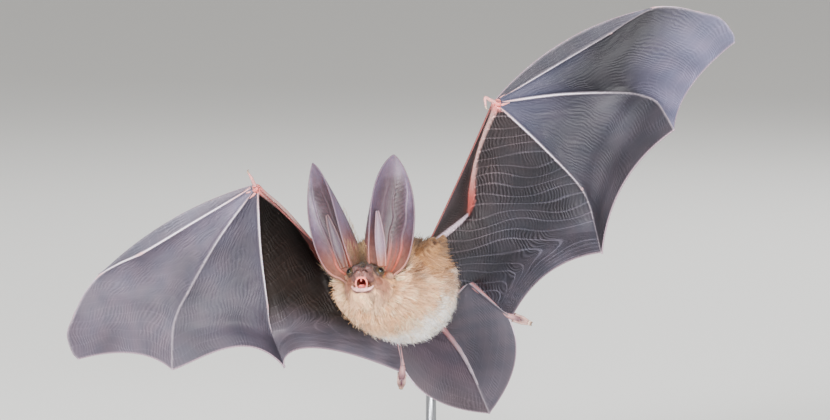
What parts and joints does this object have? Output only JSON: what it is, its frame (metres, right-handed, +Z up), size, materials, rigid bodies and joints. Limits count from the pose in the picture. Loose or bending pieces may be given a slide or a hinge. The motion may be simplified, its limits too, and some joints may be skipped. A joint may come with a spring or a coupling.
{
  "type": "big-eared bat in flight on a display stand",
  "caption": "Life-size model of a big-eared bat in flight, wings spread and mouth open, held from behind by two thin rods on a round base.",
  "frame": {"origin": "centre of the round stand base's underside, on the floor", "axes": "+Z up; the bat faces -Y; its left wing is on the +X side"},
  "size_m": [0.197, 0.1031, 0.1486],
  "materials": {
    "coat": "matte",
    "lips": "satin",
    "tongue": "gloss",
    "limb_skin": "satin",
    "ear_skin": "satin",
    "wing_membrane": "satin",
    "eye": "gloss",
    "stand_wood": "satin",
    "stand_steel": "satin"
  },
  "bodies": {
    "root": {"ear_left": "ear_skin", "ear_right": "ear_skin", "eye_left": "eye", "eye_right": "eye", "finger_2_left": "limb_skin", "finger_2_right": "limb_skin", "finger_3_left": "limb_skin", "finger_3_right": "limb_skin", "finger_4_left": "limb_skin", "finger_4_right": "limb_skin", "finger_5_left": "limb_skin", "finger_5_right": "limb_skin", "foot_left": "limb_skin", "foot_right": "limb_skin", "forearm_left": "limb_skin", "forearm_right": "limb_skin", "head": "coat", "lower_jaw": "lips", "neck": "coat", "shin_left": "limb_skin", "shin_right": "limb_skin", "stand_arm": "stand_steel", "stand_base": "stand_wood", "stand_post": "stand_steel", "tail": "limb_skin", "thigh_left": "limb_skin", "thigh_right": "limb_skin", "thumb_left": "limb_skin", "thumb_right": "limb_skin", "tongue": "tongue", "tragus_left": "ear_skin", "tragus_right": "ear_skin", "trunk": "coat", "upper_arm_left": "limb_skin", "upper_arm_right": "limb_skin", "web_arm_left": "wing_membrane", "web_arm_right": "wing_membrane", "web_front_left": "wing_membrane", "web_front_right": "wing_membrane", "web_leading_left": "wing_membrane", "web_leading_right": "wing_membrane", "web_middle_left": "wing_membrane", "web_middle_right": "wing_membrane", "web_tail_left": "wing_membrane", "web_tail_right": "wing_membrane", "web_tip_left": "wing_membrane", "web_tip_right": "wing_membrane"}
  },
  "joints": []
}
